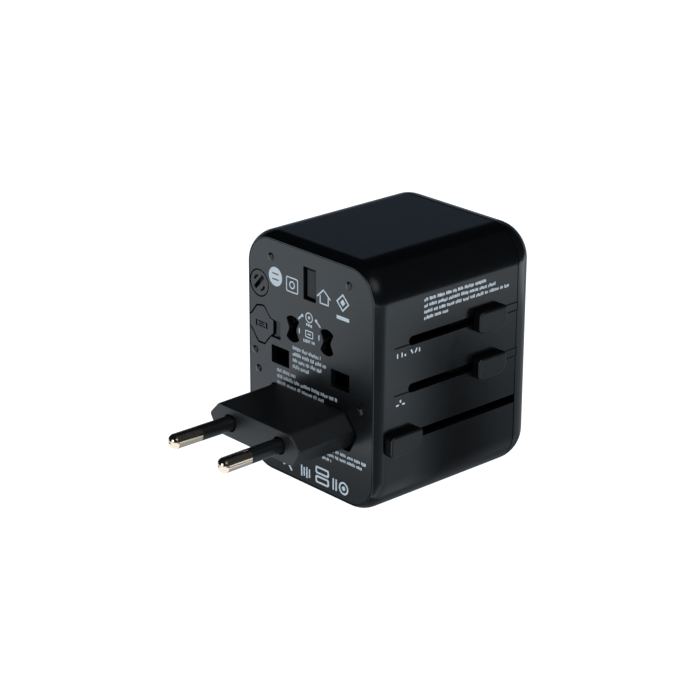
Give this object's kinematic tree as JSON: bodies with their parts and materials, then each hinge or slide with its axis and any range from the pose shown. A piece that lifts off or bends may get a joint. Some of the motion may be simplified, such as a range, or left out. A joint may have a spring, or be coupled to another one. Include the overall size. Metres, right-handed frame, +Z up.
{
  "type": "universal travel adapter",
  "caption": "Block-shaped mains travel adapter with sliding plugs on one face, worked by knobs on the side, and a universal socket with USB ports on the opposite face.",
  "frame": {"origin": "centre of the flat underside of the block, half way between the pin face and the socket face", "axes": "+Z up; +Y from the pin face towards the socket face; +X towards the side with the three sliding knobs"},
  "size_m": [0.0519, 0.0935, 0.0654],
  "materials": {
    "shell_plastic": "satin moulded, fine spark texture",
    "face_plastic": "satin moulded",
    "knob_plastic": "smooth satin",
    "inner_plastic": "plain moulded",
    "sleeve_plastic": "smooth",
    "earth_plastic": "smooth",
    "pale_plastic": "plain moulded",
    "pin_nickel": "bright nickel plate",
    "contact_brass": "stamped",
    "bright_steel": "stamped, bright",
    "board": "solder mask",
    "tape": "polyester tape",
    "can_aluminium": "bare can",
    "fuse_ceramic": "unglazed tube, plated ends",
    "lens": "clear tinted",
    "print_ink": "pad-printed pale ink"
  },
  "bodies": {
    "housing": {"main_shell": "shell_plastic", "pin_plate": "face_plastic", "rear_cap": "shell_plastic", "pilot_lens": "lens", "usb_deck": "inner_plastic", "rail_deck": "inner_plastic", "contact_carrier": "pale_plastic", "live_contact": "contact_brass", "neutral_contact": "contact_brass", "live_bus": "contact_brass", "neutral_bus": "contact_brass", "shutter_spring": "bright_steel", "usb_a_shell_left": "bright_steel", "usb_a_shell_right": "bright_steel", "usb_a_tongue_left": "inner_plastic", "usb_a_tongue_right": "inner_plastic", "usb_c_shell": "bright_steel", "usb_c_tongue": "inner_plastic", "usb_board": "board", "transformer": "tape", "input_capacitor": "can_aluminium", "output_capacitor_left": "can_aluminium", "output_capacitor_right": "can_aluminium", "bridge_rectifier": "inner_plastic", "control_chip": "inner_plastic", "filter_choke": "tape", "spare_fuse": "fuse_ceramic", "fuse_clip_front": "contact_brass", "fuse_clip_rear": "contact_brass"},
    "eu_slider": {"eu_plug_body": "face_plastic", "eu_knob": "knob_plastic", "eu_pin_left": "pin_nickel", "eu_pin_right": "pin_nickel", "eu_sleeve_left": "sleeve_plastic", "eu_sleeve_right": "sleeve_plastic"},
    "uk_slider": {"uk_carriage": "inner_plastic", "uk_knob": "knob_plastic", "uk_live_pin": "pin_nickel", "uk_neutral_pin": "pin_nickel", "uk_live_sleeve": "sleeve_plastic", "uk_neutral_sleeve": "sleeve_plastic", "uk_earth_pin": "earth_plastic"},
    "usaus_slider": {"usaus_carriage": "inner_plastic", "usaus_knob": "knob_plastic"},
    "left_blade": {"blade_left": "pin_nickel", "blade_hub_left": "inner_plastic"},
    "right_blade": {"blade_right": "pin_nickel", "blade_hub_right": "inner_plastic"},
    "shutter": {"safety_shutter": "pale_plastic"},
    "fuse_drawer": {"fuse": "fuse_ceramic"},
    "cap_turn": {"fuse_cap": "face_plastic"},
    "door": {"fuse_door": "face_plastic"}
  },
  "joints": [
    {"name": "eu_slide", "type": "slide", "parent": "housing", "child": "eu_slider", "axis": [0, 1, 0], "range_m": [0, 0.0374]},
    {"name": "uk_slide", "type": "slide", "parent": "housing", "child": "uk_slider", "axis": [0, -1, 0], "range_m": [0, 0.0241]},
    {"name": "usaus_slide", "type": "slide", "parent": "housing", "child": "usaus_slider", "axis": [0, -1, 0], "range_m": [0, 0.0241]},
    {"name": "left_blade_turn", "type": "hinge", "parent": "usaus_slider", "child": "left_blade", "pos_m": [-0.00635, 0.0007, 0.0421], "axis": [0, 1, 0], "range_deg": [-30, 30]},
    {"name": "right_blade_turn", "type": "hinge", "parent": "usaus_slider", "child": "right_blade", "pos_m": [0.00635, 0.0007, 0.0421], "axis": [0, 1, 0], "range_deg": [-30, 30]},
    {"name": "shutter_slide", "type": "slide", "parent": "housing", "child": "shutter", "axis": [0, 0, -1], "range_m": [0, 0.0074], "stiffness_N_per_m": 60, "springref_m": -0.002, "deforming": ["shutter_spring"]},
    {"name": "fuse_draw", "type": "slide", "parent": "housing", "child": "fuse_drawer", "axis": [0, -1, 0], "range_m": [0, 0.026]},
    {"name": "fuse_cap_turn", "type": "hinge", "parent": "fuse_drawer", "child": "cap_turn", "pos_m": [-0.0191, -0.0271, 0.051], "axis": [0, 1, 0], "range_deg": [0, 90]},
    {"name": "fuse_door_pull", "type": "slide", "parent": "housing", "child": "door", "axis": [0, -1, 0], "range_m": [0, 0.008]}
  ]
}
